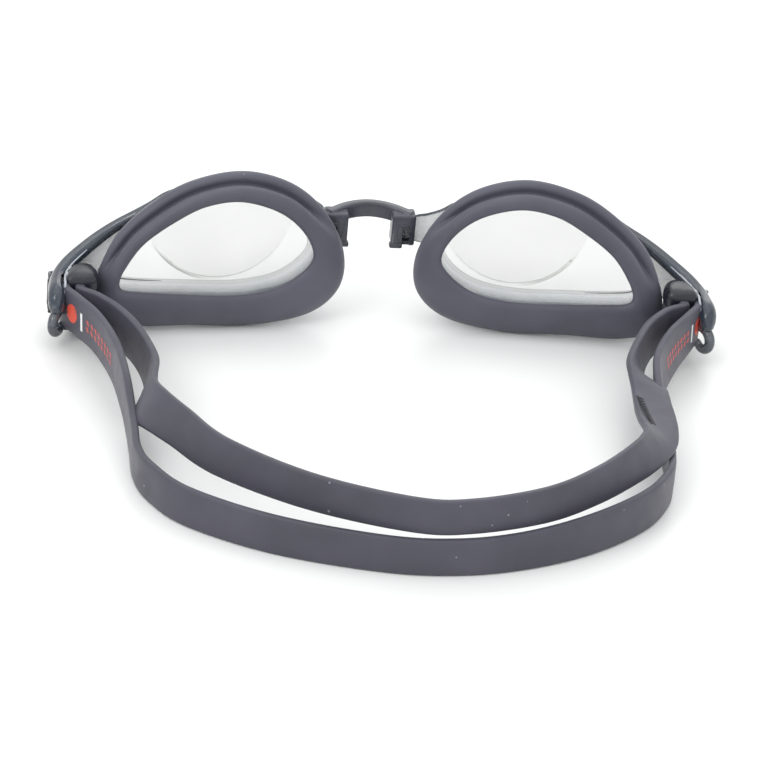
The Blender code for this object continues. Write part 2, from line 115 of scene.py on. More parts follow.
def skin(shape, rings, closed=False, material=0):
    """Joins each ring of points to the next with faces, and the last to the first or caps both."""
    loops = [[shape.verts.new(point) for point in ring] for ring in rings]
    pairs = list(zip(loops, loops[1:]))
    if closed:
        pairs.append((loops[-1], loops[0]))
    made = []
    for near, far in pairs:
        for index in range(len(near)):
            after = (index + 1) % len(near)
            corners = (near[index], near[after], far[after], far[index])
            made.append(shape.faces.new(corners))
    if not closed:
        made.append(shape.faces.new(loops[0]))
        made.append(shape.faces.new(loops[-1]))
    for face in made:
        face.material_index = material


def finish_mesh(shape, name, side=1, sharp=40):
    """A bmesh in millimetres as an object in metres, mirrored for side -1."""
    bmesh.ops.recalc_face_normals(shape, faces=shape.faces)
    bmesh.ops.translate(shape, vec=(0, -CENTRE_Y, 0), verts=shape.verts)
    bmesh.ops.scale(shape, vec=(MM * side, MM, MM), verts=shape.verts)
    if side < 0:
        bmesh.ops.reverse_faces(shape, faces=shape.faces)
    mesh = bpy.data.meshes.new(name)
    shape.to_mesh(mesh)
    shape.free()
    mesh.shade_smooth()
    mesh.set_sharp_from_angle(angle=math.radians(sharp))
    thing = bpy.data.objects.new(name, mesh)
    bpy.context.scene.collection.objects.link(thing)
    return thing


def settle(thing, sharp=40):
    """Applies the object's modifiers."""
    graph = bpy.context.evaluated_depsgraph_get()
    mesh = bpy.data.meshes.new_from_object(thing.evaluated_get(graph))
    thing.modifiers.clear()
    thing.data = mesh
    mesh.shade_smooth()
    mesh.set_sharp_from_angle(angle=math.radians(sharp))
    return thing


def combined(thing, others, operation):
    """Adds the others to the thing, or cuts them away from it."""
    for other in others:
        step = thing.modifiers.new(other.name, "BOOLEAN")
        step.operation = operation
        step.object = other
        step.solver = "EXACT"
    settle(thing)
    for other in others:
        bpy.data.objects.remove(other)


def softened(thing, width, segments=2, angle=35):
    """Rounds the edges that are sharper than the angle."""
    bevel = thing.modifiers.new("Edges", "BEVEL")
    bevel.width = width * MM
    bevel.segments = segments
    bevel.limit_method = "ANGLE"
    bevel.angle_limit = math.radians(angle)
    bevel.harden_normals = True
    return settle(thing)


def subdivided(thing):
    """Smooths the mesh by one level of subdivision."""
    step = thing.modifiers.new("Smooth", "SUBSURF")
    step.levels = 1
    step.render_levels = 1
    settle(thing)


def box(name, low, high, side=1):
    """A box between two opposite corners."""
    shape = bmesh.new()
    bmesh.ops.create_cube(shape, size=1.0)
    low, high = Vector(low), Vector(high)
    bmesh.ops.scale(shape, vec=high - low, verts=shape.verts)
    bmesh.ops.translate(shape, vec=(low + high) / 2, verts=shape.verts)
    return finish_mesh(shape, name, side)


def post(name, centre, radius, low, high, side=1, sides=32):
    """An upright round post from low to high."""
    shape = bmesh.new()
    bmesh.ops.create_cone(
        shape, cap_ends=True, segments=sides, radius1=radius, radius2=radius, depth=high - low
    )
    bmesh.ops.translate(shape, vec=(*centre, (low + high) / 2), verts=shape.verts)
    return finish_mesh(shape, name, side)


def raised(name, outline, low, high, side=1):
    """A plan outline raised from low to high."""
    shape = bmesh.new()
    skin(shape, [[Vector((x, y, z)) for x, y in outline] for z in (low, high)])
    return finish_mesh(shape, name, side)


def tube(name, knots, count, side, around):
    """A round bar through knots of (x, y, z, radius), its ends rounded."""
    line = spline(knots, count)
    rings = []
    last_level = Vector()
    for index, (x, y, z, radius) in enumerate(line):
        along = heading(line, index)
        level = along.cross(Vector((0, 0, 1)))
        if level.length < 0.2:
            level = Vector((0, 1, 0)).cross(along)
        if level.dot(last_level) < 0:
            level = -level
        level.normalize()
        last_level = level
        up = level.cross(along).normalized()
        centre = Vector((x, y, z))
        rings.append(
            [
                centre
                + level * (radius * math.cos(math.tau * k / around))
                + up * (radius * math.sin(math.tau * k / around))
                for k in range(around)
            ]
        )
    rounded = []
    for end, step in ((0, 1), (-1, -1)):
        centre = sum(rings[end], Vector()) / around
        inward = (sum(rings[end + step], Vector()) / around - centre).normalized()
        size = line[end][3]
        caps = []
        for share in (0.28, 0.6, 0.86):
            spread = math.sqrt(1 - share**2)
            shifted = centre - inward * (share * size)
            caps.append([shifted + (point - centre) * spread for point in rings[end]])
        rounded.append(caps)
    rings = rounded[0][::-1] + rings + rounded[1]
    shape = bmesh.new()
    skin(shape, rings)
    return finish_mesh(shape, name, side)


# --- Materials ---


class Shader:
    """A node material with its Principled shader and a few shorthand node makers."""

    def __init__(self, name, roughness, **constants):
        self.material = bpy.data.materials.new(name)
        self.material.use_nodes = True
        self.tree = self.material.node_tree
        self.shader = self.tree.nodes["Principled BSDF"]
        self.shader.inputs["Roughness"].default_value = roughness
        for socket, value in constants.items():
            self.shader.inputs[socket.replace("_", " ")].default_value = value
        self.place = self.tree.nodes.new("ShaderNodeTexCoord").outputs["Object"]

    def node(self, kind, values=(), **settings):
        made = self.tree.nodes.new(kind)
        for key, value in settings.items():
            setattr(made, key, value)
        for socket, value in dict(values).items():
            if isinstance(value, bpy.types.NodeSocket):
                self.tree.links.new(value, made.inputs[socket])
            else:
                made.inputs[socket].default_value = value
        return made

    def noise(self, scale, detail=3.0, roughness=0.5):
        values = {"Vector": self.place, "Scale": scale, "Detail": detail, "Roughness": roughness}
        return self.node("ShaderNodeTexNoise", values).outputs["Fac"]

    def cloud(self, new_low, new_high, scale, detail=3.0, roughness=0.5):
        """Noise with its middle range spread from new_low to new_high."""
        noise = self.noise(scale, detail, roughness)
        return self.spread(noise, 0.3, 0.7, new_low, new_high)

    def dots(self, scale, size, share):
        """Small round specks: 1 inside a speck, in the given share of the cells."""
        cell = self.node("ShaderNodeTexVoronoi", {"Vector": self.place, "Scale": scale})
        near = self.math("LESS_THAN", cell.outputs["Distance"], size)
        colour = self.node("ShaderNodeSeparateColor", {"Color": cell.outputs["Color"]})
        chosen = self.math("LESS_THAN", colour.outputs["Red"], share)
        return self.math("MULTIPLY", near, chosen)

    def math(self, operation, a, b=0.0, clamp=False):
        settings = {"operation": operation, "use_clamp": clamp}
        return self.node("ShaderNodeMath", {0: a, 1: b}, **settings).outputs[0]

    def distance(self, a, b):
        made = self.node("ShaderNodeVectorMath", {0: a, 1: b}, operation="DISTANCE")
        return made.outputs["Value"]

    def dot(self, a, b):
        made = self.node("ShaderNodeVectorMath", {0: a, 1: b}, operation="DOT_PRODUCT")
        return made.outputs["Value"]

    def facing(self, blend):
        """0 where looked straight at, rising to 1 at a glance."""
        return self.node("ShaderNodeLayerWeight", {"Blend": blend}).outputs["Facing"]

    def spread(self, value, low, high, new_low, new_high):
        values = {0: value, 1: low, 2: high, 3: new_low, 4: new_high}
        return self.node("ShaderNodeMapRange", values).outputs[0]

    def mix(self, factor, a, b):
        made = self.node("ShaderNodeMix", data_type="RGBA")
        for socket, value in ((0, factor), (6, a), (7, b)):
            if isinstance(value, bpy.types.NodeSocket):
                self.tree.links.new(value, made.inputs[socket])
            elif socket == 0:
                made.inputs[0].default_value = value
            else:
                made.inputs[socket].default_value = (*value, 1.0)
        return made.outputs[2]

    def put(self, socket, value):
        self.tree.links.new(value, self.shader.inputs[socket])

    def bump(self, height, strength, distance):
        values = {"Height": height, "Strength": strength, "Distance": distance * MM}
        self.put("Normal", self.node("ShaderNodeBump", values).outputs["Normal"])


def shade(colour, factor):
    """The colour made darker or lighter."""
    return tuple(factor * value for value in colour)


def silicone(name, colour, dust_share, roughness=0.5):
    """Matte silicone: faint cloudy colour, fine grain, and light specks of dust."""
    look = Shader(name, roughness, Specular_IOR_Level=0.45, Sheen_Weight=0.12, Sheen_Roughness=0.4)
    base = look.mix(look.cloud(0.0, 1.0, 55.0, 4.0), shade(colour, 0.84), shade(colour, 1.14))
    dust = look.math("MULTIPLY", look.dots(260.0, 0.07, dust_share), 0.55)
    look.put("Base Color", look.mix(dust, base, (0.42, 0.42, 0.44)))
    worn = look.spread(look.noise(240.0), 0.25, 0.75, roughness - 0.07, roughness + 0.09)
    look.put("Roughness", worn)
    grain = look.math("MULTIPLY", look.noise(3200.0, 2.0), 0.5)
    look.bump(look.math("ADD", grain, look.noise(420.0)), 0.22, 0.05)
    return look.material


def smoked(name, face_on, colour, edge_colour):
    """Smoke-tinted clear plastic: light where looked straight through, dark along its edges."""
    look = Shader(name, 0.07, IOR=1.5, Coat_Weight=0.6, Coat_Roughness=0.03)
    facing = look.facing(0.42)
    seen = look.spread(facing, 0.05, 0.8, face_on, 0.97)
    streak = look.cloud(-0.06, 0.06, 90.0, 4.0, 0.6)
    look.put("Alpha", look.math("ADD", seen, streak, clamp=True))
    look.put("Base Color", look.mix(facing, colour, edge_colour))
    look.put("Roughness", look.cloud(0.04, 0.11, 160.0, 2.0))
    look.bump(look.noise(240.0, 2.0), 0.05, 0.03)
    return look.material


def nylon(name, colour, roughness=0.3):
    """Satin moulded nylon with a little flow texture."""
    look = Shader(name, roughness, Coat_Weight=0.12, Coat_Roughness=0.12)
    flow = look.cloud(0.0, 1.0, 120.0, 4.0)
    look.put("Base Color", look.mix(flow, shade(colour, 0.75), shade(colour, 1.35)))
    look.put("Roughness", look.cloud(roughness - 0.06, roughness + 0.08, 500.0))
    look.bump(look.noise(900.0), 0.06, 0.02)
    return look.material


def ink(name, colour):
    """Printed ink with small worn gaps in its tone."""
    look = Shader(name, 0.45, Specular_IOR_Level=0.4)
    worn = look.spread(look.noise(900.0), 0.58, 0.7, 0.0, 0.55)
    look.put("Base Color", look.mix(worn, colour, (0.16, 0.12, 0.13)))
    look.bump(look.noise(1500.0, 2.0), 0.2, 0.02)
    return look.material


def polycarbonate(name):
    """The start of a clear polycarbonate."""
    return Shader(name, 0.03, IOR=1.58, Specular_IOR_Level=0.6)


def finish_clear(look, alpha):
    """Puts the alpha, a little hazy, and a polished roughness on a clear plastic."""
    haze = look.cloud(-0.012, 0.012, 70.0)
    look.put("Alpha", look.math("ADD", alpha, haze, clamp=True))
    look.put("Roughness", look.cloud(0.02, 0.06, 300.0, 2.0))
    return look.material


def clear_plastic(name, face_on, edge_on, colour):
    """Clear plastic with one alpha face on and another at a glance, where it is darker too."""
    look = polycarbonate(name)
    facing = look.facing(0.5)
    look.put("Base Color", look.mix(facing, colour, shade(colour, 0.6)))
    return finish_clear(look, look.spread(facing, 0.1, 0.95, face_on, edge_on))


def steel(name):
    """Finely brushed steel."""
    look = Shader(name, 0.3, Metallic=1.0)
    brushed = look.noise(1400.0)
    look.put("Base Color", look.mix(brushed, (0.5, 0.5, 0.52), (0.7, 0.7, 0.72)))
    look.put("Roughness", look.spread(brushed, 0.3, 0.7, 0.22, 0.38))
    return look.material


STRAP = silicone("Strap silicone", (0.066, 0.064, 0.086), 0.26)
GASKET = silicone("Gasket silicone", (0.087, 0.086, 0.115), 0.03)
# Painted shade: near-black silicone for slabs that stand in for the shadowed inside of the
# adjusting slot.
SLOT_SHADE = silicone("Painted slot shade", (0.008, 0.008, 0.010), 0.0, 0.6)
SMOKE = smoked("Smoke polycarbonate", 0.40, (0.065, 0.078, 0.095), (0.014, 0.018, 0.026))
PANEL = smoked("Thin smoke polycarbonate", 0.26, (0.26, 0.28, 0.30), (0.03, 0.036, 0.044))
WEB = smoked("Arm web polycarbonate", 0.42, (0.20, 0.22, 0.25), (0.03, 0.036, 0.044))
RAIL = smoked("Thick smoke polycarbonate", 0.72, (0.045, 0.060, 0.085), (0.012, 0.016, 0.026))
# Painted highlight: pale, nearly opaque plastic for the ledge that stands in for glints along the
# rail.
GLINT = clear_plastic("Painted highlight ledge", 0.75, 0.95, (0.60, 0.64, 0.70))
NYLON = nylon("Black nylon", (0.011, 0.012, 0.020))
BRIDGE_NYLON = nylon("Bridge nylon", (0.050, 0.052, 0.068), 0.26)
RED_INK = ink("Red ink", (0.70, 0.09, 0.055))
ROSE_INK = ink("Rose ink", (0.52, 0.10, 0.09))
WHITE_INK = ink("White ink", (0.82, 0.82, 0.82))
STEEL = steel("Steel")


def dress(thing, slot, *materials, body="goggles"):
    """Gives a piece its materials and the body it rides on; the slot is not used."""
    regions = [face.material_index for face in thing.data.polygons]
    thing.data.materials.clear()
    for material in materials:
        thing.data.materials.append(material)
    if len(materials) > 1:
        thing.data.polygons.foreach_set("material_index", regions)
    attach(thing, body)


# --- Eye cups ---

CUP_X, CUP_Y = 39.0, 49.5
CUP_YAW, CUP_PITCH = math.radians(7), math.radians(7)
STATIONS = 180
# Pairs of points round the cup from its temple corner upwards, outward and up in the cup's own
# plane: the edge of the face opening, then the outermost line of the wall.
CUP_OUTLINES = (
    ((23.5, -6.8), (30.1, -9.6)), ((22.0, -3.0), (28.5, -3.4)), ((17.5, 3.0), (24.2, 4.8)),
    ((9.6, 8.5), (15.2, 12.7)), ((2.8, 11.7), (6.0, 17.3)), ((-5.5, 12.6), (-5.8, 19.2)),
    ((-14.4, 9.9), (-17.5, 15.9)), ((-20.4, 5.1), (-26.0, 8.6)),
    ((-23.3, -0.6), (-31.0, -1.8)), ((-21.3, -4.7), (-30.2, -11.0)),
    ((-14.8, -8.9), (-23.0, -17.3)), ((-5.2, -10.5), (-9.5, -19.8)),
    ((7.8, -10.0), (7.5, -19.5)), ((18.0, -9.2), (21.0, -19.3)), ((22.4, -8.6), (29.3, -16.3)),
)
# Points of the gasket's section: the share of the way from the opening to the outermost line, and
# the distance forward of the face plane. LIPPED has two lips with a groove between them. MERGED is
# the same wall where the lips have run together into one skirt.
LIPPED = (
    (0.0, 0.8), (0.03, 0.0), (0.12, -0.55), (0.27, -0.8), (0.43, -0.6), (0.55, -0.05),
    (0.605, 0.8), (0.60, 1.6), (0.56, 2.3), (0.525, 3.0), (0.545, 3.6), (0.62, 3.5),
    (0.72, 3.15), (0.85, 3.1), (0.96, 3.8), (1.0, 4.9), (0.96, 5.8), (0.86, 6.4), (0.37, 6.6),
    (0.28, 5.2), (0.19, 3.6), (0.1, 2.1),
)
MERGED = (
    (0.0, 0.8), (0.03, 0.0), (0.12, -0.5), (0.26, -0.55), (0.40, -0.25), (0.52, 0.25),
    (0.62, 0.8), (0.70, 1.3), (0.77, 1.8), (0.83, 2.3), (0.88, 2.8), (0.92, 3.3), (0.95, 3.8),
    (0.98, 4.3), (0.995, 4.8), (0.99, 5.4), (0.95, 6.0), (0.86, 6.4), (0.37, 6.6),
    (0.28, 5.2), (0.19, 3.6), (0.1, 2.1),
)
# The lips start to merge at the first angle round the cup, and are one skirt from the second.
NOSE_MERGE = (150, 178)
TEMPLE_MERGE = (6, -18)
# The soft face opening sits this far outward of the lens on each side, as the goggles rest. The
# whole shift is at the face plane, and none of it where the gasket meets the frame.
FACE_SHIFT = {1: -1.4, -1: 1.1}
FACE_SHIFT_FADE = (6.6, 1.0)


def cup_stations():
    """Evenly spaced pairs of points on the two outlines."""
    knots = [(*inner, 0, *outer) for inner, outer in CUP_OUTLINES]
    line = spline(knots, STATIONS, closed=True)
    return [(Vector(point[:2]), Vector(point[3:])) for point in line]


STATION_LIST = cup_stations()


def polar(station):
    """The station's angle round the cup, in degrees from its outward side."""
    return math.degrees(math.atan2(station[1].y, station[1].x))


def on_wall(station, share, forward):
    """A point between the station's two outlines, forward of the face plane."""
    inner, outer = station
    spot = inner.lerp(outer, share)
    return Vector((spot.x, spot.y, forward))


def cup_place():
    """The cup's plane in space, high enough for the skirt to stand on the floor."""
    across = Vector((math.cos(CUP_YAW), -math.sin(CUP_YAW), 0))
    level = Vector((math.sin(CUP_YAW), math.cos(CUP_YAW), 0))
    up = level * math.sin(CUP_PITCH) + Vector((0, 0, math.cos(CUP_PITCH)))
    forward = level * math.cos(CUP_PITCH) - Vector((0, 0, math.sin(CUP_PITCH)))
    turn = Matrix((across, up, forward)).transposed().to_4x4()
    heights = [(turn @ on_wall(station, *spot)).z for station in STATION_LIST for spot in MERGED]
    return Matrix.Translation((CUP_X, CUP_Y, -min(heights))) @ turn


CUP = cup_place()


def make_gasket(side, label):
    """The soft double-lipped gasket, its lips merged at the nose and the temple."""
    rings = []
    for station in STATION_LIST:
        angle = polar(station)
        merge = max(ramp(angle, *NOSE_MERGE), ramp(angle, *TEMPLE_MERGE))
        ring = []
        for lip, skirt in zip(LIPPED, MERGED):
            share = lip[0] + (skirt[0] - lip[0]) * merge
            forward = lip[1] + (skirt[1] - lip[1]) * merge
            placed = on_wall(station, share, forward)
            placed.x += FACE_SHIFT[side] * (1 - share) * ramp(forward, *FACE_SHIFT_FADE)
            ring.append(CUP @ placed)
        rings.append(ring)
    shape = bmesh.new()
    skin(shape, rings, closed=True)
    thing = finish_mesh(shape, f"{label}_face_gasket", side, 80)
    subdivided(thing)
    dress(thing, "gasket_silicone", GASKET)
    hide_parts(f"{label}_gasket")


# The round optical zone on the lens's front, in the cup's own plane.
DISC_CENTRE = {1: (-7.0, 7.6), -1: (-2.0, 7.2)}
DISC_RADIUS = 18.7
DISC_FORWARD = 15.9
DISC_RISE = 0.35
DOME_RISE = 0.6
FACE_RINGS = 64
# The front's outermost ring stays level, at shares above this.
LEVEL_SHARE = 0.985
LENS_THICKNESS = 1.2
# The side wall is painted fully in shade this far forward of the face plane, and clear this far
# forward of it.
WALL_SHADED, WALL_CLEAR = 6.5, 14.5
# The round zone's tint fades over this distance each side of its edge. A fine dark line of painted
# shade on the edge is gone beyond the first of the next distances and full within the second. It
# shows only below and outward of the zone's centre, and fades in between these distances from it.
ZONE_FADE = 0.2
SHADE_LINE_FADE = (0.30, 0.05)
SHADE_LINE_BELOW = (9, 14)
SHADE_LINE_OUTWARD = (1, 7)
# The frame's ring and the lens's tray, as points like those of the gasket's section.
RING = (
    (0.49, 6.9), (0.84, 6.9), (0.86, 7.3), (0.85, 7.9), (0.8, 8.8), (0.72, 10.0), (0.64, 11.2),
    (0.56, 12.2), (0.5, 12.6), (0.43, 12.7), (0.385, 12.5), (0.42, 10.8), (0.46, 8.8),
)
TRAY = (
    (0.44, 6.9), (0.41, 8.0), (0.385, 9.5), (0.36, 11.0), (0.33, 12.4), (0.30, 13.5),
    (0.27, 14.3), (0.24, 14.9), (0.21, 15.3), (0.185, 15.5), (0.15, 15.65),
)
# How many of the tray's bands are side wall; the rest round the edge over to the front.
WALL_BANDS = 7
# The angles round the cup between which a dark bead of painted shade runs along the lens's front
# edge, and where on the section that bead runs.
SHADE_BEAD_ANGLES = (-58, -9)
SHADE_BEAD_SPOT = (0.2, 15.45)


def lens_look(name):
    """Clear polycarbonate, with its object-space point folded onto the right side."""
    look = polycarbonate(name)
    x, y, z = look.node("ShaderNodeSeparateXYZ", {0: look.place}).outputs
    across = look.math("ABSOLUTE", x)
    spot = look.node("ShaderNodeCombineXYZ", {0: across, 1: y, 2: z}).outputs[0]
    return look, spot, across, z


def lens_wall():
    """The side wall: clear at the front, with painted shade making it darker and denser backwards
    towards the gasket.
    """
    look, spot, _, _ = lens_look("Clear polycarbonate wall")
    forward = CUP.to_3x3().col[2]
    start = forward.dot(CUP.translation - CENTRE)
    clear, dark = (start + WALL_CLEAR) * MM, (start + WALL_SHADED) * MM
    # Painted shade: the wall's colour darkens and its alpha thickens towards the gasket.
    back = look.spread(look.dot(spot, forward), clear, dark, 0.0, 1.0)
    look.put("Base Color", look.mix(back, (0.42, 0.46, 0.48), (0.055, 0.080, 0.105)))
    return finish_clear(look, look.spread(back, 0.0, 1.0, 0.24, 0.92))


def lens_front(side, label):
    """The front: a round zone, with a fine dark line of painted shade on its edge, on the lower
    temple side.
    """
    look, spot, across, height = lens_look(f"Clear polycarbonate {label} face")
    centre = (CUP @ Vector((*DISC_CENTRE[side], DISC_FORWARD)) - CENTRE) * MM
    away = look.distance(spot, centre)
    beyond, within = (DISC_RADIUS + ZONE_FADE) * MM, (DISC_RADIUS - ZONE_FADE) * MM
    zone = look.spread(away, beyond, within, 0.0, 1.0)
    off = look.math("ABSOLUTE", look.math("SUBTRACT", away, DISC_RADIUS * MM))
    line = look.spread(off, SHADE_LINE_FADE[0] * MM, SHADE_LINE_FADE[1] * MM, 0.0, 1.0)
    first, full = (centre.z - below * MM for below in SHADE_LINE_BELOW)
    low = look.spread(height, first, full, 0.0, 1.0)
    first, full = (centre.x + outward * MM for outward in SHADE_LINE_OUTWARD)
    temple = look.spread(across, first, full, 0.0, 1.0)
    # Painted shade: a dark line along the zone's edge, only below and outward of its centre.
    edge = look.math("MULTIPLY", line, look.math("MULTIPLY", low, temple))
    seen = look.spread(look.facing(0.5), 0.1, 0.95, 0.13, 0.3)
    alpha = look.math("ADD", seen, look.math("MULTIPLY", zone, 0.04))
    alpha = look.math("ADD", alpha, look.math("MULTIPLY", edge, 0.34))
    tint = look.mix(zone, (0.36, 0.37, 0.35), (0.33, 0.335, 0.30))
    look.put("Base Color", look.mix(edge, tint, (0.09, 0.10, 0.05)))
    return finish_clear(look, alpha)


LENS_WALL = lens_wall()
LENS_SHADE_LINE = clear_plastic("Painted shade lens edge", 0.7, 0.95, (0.030, 0.034, 0.036))
LENS_EDGE = clear_plastic("Clear polycarbonate edge", 0.30, 0.65, (0.07, 0.08, 0.07))


def face_point(outline, share, centre):
    """A point on the lens's front: gently domed, with the round optical zone standing proud."""
    x, y = outline.x * share, outline.y * share
    dome = DOME_RISE * (1 - share**2)
    away = math.dist((x, y), centre)
    zone = DISC_RISE * ramp(away, DISC_RADIUS + 0.3, DISC_RADIUS - 0.15)
    rim = 0.0 if share > LEVEL_SHARE else 1.0
    return Vector((x, y, outline.z + dome + zone * rim))


def make_lens(side, label):
    """The lens: a tray open to the wearer, with a dark bead of painted shade along part of its
    front edge.
    """
    rings = [[on_wall(station, *spot) for station in STATION_LIST] for spot in TRAY]
    edge = rings[-1]
    for step in range(1, FACE_RINGS):
        share = 1 - step / FACE_RINGS
        rings.append([face_point(point, share, DISC_CENTRE[side]) for point in edge])
    shape = bmesh.new()
    loops = [[shape.verts.new(CUP @ point) for point in ring] for ring in rings]
    for number, (near, far) in enumerate(zip(loops, loops[1:])):
        region = 1 if number < WALL_BANDS else 2 if number < len(TRAY) - 1 else 0
        for index in range(STATIONS):
            after = (index + 1) % STATIONS
            face = shape.faces.new((near[index], near[after], far[after], far[index]))
            face.material_index = region
    centre = shape.verts.new(CUP @ face_point(edge[0], 0.0, DISC_CENTRE[side]))
    for index in range(STATIONS):
        shape.faces.new((loops[-1][index], loops[-1][(index + 1) % STATIONS], centre))
    thing = finish_mesh(shape, f"{label}_clear_lens", side, 80)
    front = max(thing.data.polygons, key=lambda face: face.center.y)
    wall = thing.modifiers.new("Thickness", "SOLIDIFY")
    wall.thickness = LENS_THICKNESS * MM
    wall.offset = -1 if front.normal.y > 0 else 1
    wall.use_even_offset = True
    settle(thing, 80)
    dress(thing, "lens_clear", lens_front(side, label), LENS_WALL, LENS_EDGE)
    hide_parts(f"{label}_lens")

    # Painted shade: a dark bead along the front edge's lower temple side only.
    first, last = SHADE_BEAD_ANGLES
    dark = [station for station in STATION_LIST if first < polar(station) < last]
    spots = [CUP @ on_wall(station, *SHADE_BEAD_SPOT) for station in sorted(dark, key=polar)]
    knots = [(*spot, 0.07 + 0.2 * number / len(spots)) for number, spot in enumerate(spots)]
    bead = tube(f"{label}_lens_shade_bead", knots, 40, side, 8)
    dress(bead, "lens_clear", LENS_SHADE_LINE)


# --- Frames, with the arms that carry the strap ---

# Knots of the arm's plan route with the height of its lower and upper edges.
ARM_KNOTS = (
    (52.0, 57.5, 0, 28.0, 32.8), (56.0, 57.9, 0, 24.6, 29.7), (59.5, 58.6, 0, 21.0, 26.9),
    (64.0, 58.2, 0, 17.0, 24.4), (68.0, 57.2, 0, 12.0, 21.8), (72.0, 55.3, 0, 8.0, 19.2),
    (75.4, 52.4, 0, 6.4, 17.1), (77.5, 48.8, 0, 5.8, 15.7), (78.3, 44.5, 0, 7.4, 15.2),
    (78.3, 40.0, 0, 9.8, 15.4),
)
# Knots of (x, y, z, radius) along the thick rail on the arm's upper edge, and along the fine ledge
# inside it, which has two teeth at these plan places. The ledge and teeth are a painted highlight.
RAIL_KNOTS = (
    (50.0, 57.3, 33.2, 0.7), (53.0, 57.6, 31.4, 0.9), (56.0, 57.9, 28.8, 1.05),
    (59.5, 58.6, 25.9, 1.25), (64.0, 58.2, 23.1, 1.4), (68.0, 57.2, 20.4, 1.6),
    (72.0, 55.3, 17.6, 1.75), (75.4, 52.4, 15.4, 1.85), (77.5, 48.8, 13.9, 1.95),
    (78.3, 44.9, 13.3, 2.0), (78.5, 41.6, 13.1, 2.05), (78.5, 39.8, 12.4, 2.1),
    (78.4, 38.9, 11.2, 2.05), (78.3, 38.6, 10.4, 1.9),
)
LEDGE_KNOTS = (
    (71.2, 53.7, 18.4, 0.12), (74.2, 51.0, 16.5, 0.22), (75.9, 47.8, 15.6, 0.3),
    (76.5, 44.2, 15.5, 0.32), (76.5, 41.6, 15.2, 0.3), (76.6, 40.2, 13.6, 0.26),
    (76.7, 39.4, 11.2, 0.22), (77.2, 38.5, 9.2, 0.2),
)
GLINT_TEETH = ((75.9, 45.2), (75.2, 48.3))
# The web's half thickness, and how far it bows out in the middle and in at its edges.
WEB_HALF, WEB_BOW = 0.45, 0.35
LEVER_AXIS = (79.3, 49.8)
LEVER_LOW, LEVER_HIGH = 7.6, 12.2
# The lower and upper faces of the two ears that hold the lever's pin.
EARS = ((5.8, 7.3), (12.5, 14.0))


def make_web(side, label):
    """The thin upright wall of the arm, bowed outward."""
    rows = 10
    line = spline(ARM_KNOTS, 56)
    rings = []
    for index, (x, y, _, low, high) in enumerate(line):
        along = heading(line, index, 2)
        outward = Vector((-along.y, along.x))
        if outward.y < 0:
            outward = -outward
        ring = []
        top = high - 1.0
        for half, offset in ((range(rows + 1), WEB_HALF), (range(rows, -1, -1), -WEB_HALF)):
            for row in half:
                share = row / rows
                bow = 2 * WEB_BOW * (1 - (2 * share - 1) ** 2) - WEB_BOW
                spot = Vector((x, y)) + outward * (offset + bow)
                ring.append(Vector((spot.x, spot.y, low + (top - low) * share)))
        rings.append(ring)
    shape = bmesh.new()
    skin(shape, rings)
    return finish_mesh(shape, f"{label}_arm_web", side)


def make_arm(side, label):
    """The arm's web, its thick glossy rail, a pale ledge inside the rail as a painted highlight,
    and the lever's ears.
    """
    dress(make_web(side, label), "frame_smoke", WEB)
    rail = tube(f"{label}_arm_rail", RAIL_KNOTS, 72, side, 28)
    dress(rail, "frame_smoke", RAIL)
    # The ledge and its teeth are painted highlights: pale pieces where the rail's inside glints.
    ledge = tube(f"{label}_arm_glint_ledge", LEDGE_KNOTS, 64, side, 10)
    teeth = []
    for number, (x, y) in enumerate(GLINT_TEETH):
        corners = (x - 0.5, y - 0.75, 15.5), (x + 0.5, y + 0.75, 16.3)
        teeth.append(softened(box(f"tooth_{number}", *corners, side), 0.2))
    combined(ledge, teeth, "UNION")
    dress(ledge, "frame_smoke", GLINT)
    for number, (low, high) in enumerate(EARS):
        ear = post(f"{label}_lever_ear_{number}", LEVER_AXIS, 1.1, low, high, side)
        root = box("root", (76.9, 48.8, low), (79.3, 50.8, high), side)
        combined(ear, [root], "UNION")
        softened(ear, 0.2)
        dress(ear, "frame_smoke", RAIL)


# How far to the right of the middle the bridge sits as the goggles rest: below 0, so to the left.
BRIDGE_SHIFT = -1.9


def make_nose_wing(side, label):
    """The thin plate from the rim to the bridge's clip block, under a curved dark top bead."""
    reach = side * BRIDGE_SHIFT
    knots = (
        (17.0, 60.4, 0, 26.0, 30.2), (14.6, 61.6, 0, 21.6, 28.0),
        (12.8 + 0.6 * reach, 63.6, 0, 18.6, 25.9), (11.6 + reach, 65.6, 0, 17.9, 24.6),
        (10.4 + reach, 67.0, 0, 17.9, 23.3), (7.6 + reach, 67.4, 0, 17.9, 23.1),
    )
    line = spline(knots, 30)
    rings = []
    for index, (x, y, _, low, high) in enumerate(line):
        along = heading(line, index, 2)
        across = Vector((-along.y, along.x)) * 0.7
        near, far = (x + across.x, y + across.y), (x - across.x, y - across.y)
        rings.append([(*near, low), (*far, low), (*far, high), (*near, high)])
    shape = bmesh.new()
    skin(shape, rings)
    wing = softened(finish_mesh(shape, f"{label}_nose_wing", side), 0.25)
    dress(wing, "frame_smoke", PANEL)
    bead_knots = [(x, y, high + 0.1, 0.34) for x, y, _, _, high in line[:21:2]]
    bead = tube(f"{label}_wing_bead", bead_knots, 36, side, 10)
    dress(bead, "frame_smoke", RAIL)


def make_frame(side, label):
    """The frame's ring round the lens, with its arm and nose wing."""
    shape = bmesh.new()
    rings = [[CUP @ on_wall(station, *spot) for spot in RING] for station in STATION_LIST]
    skin(shape, rings, closed=True)
    rim = finish_mesh(shape, f"{label}_rim", side, 50)
    dress(rim, "frame_smoke", SMOKE)
    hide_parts(f"{label}_frame")
    make_arm(side, label)
    make_nose_wing(side, label)


# --- Strap holders ---

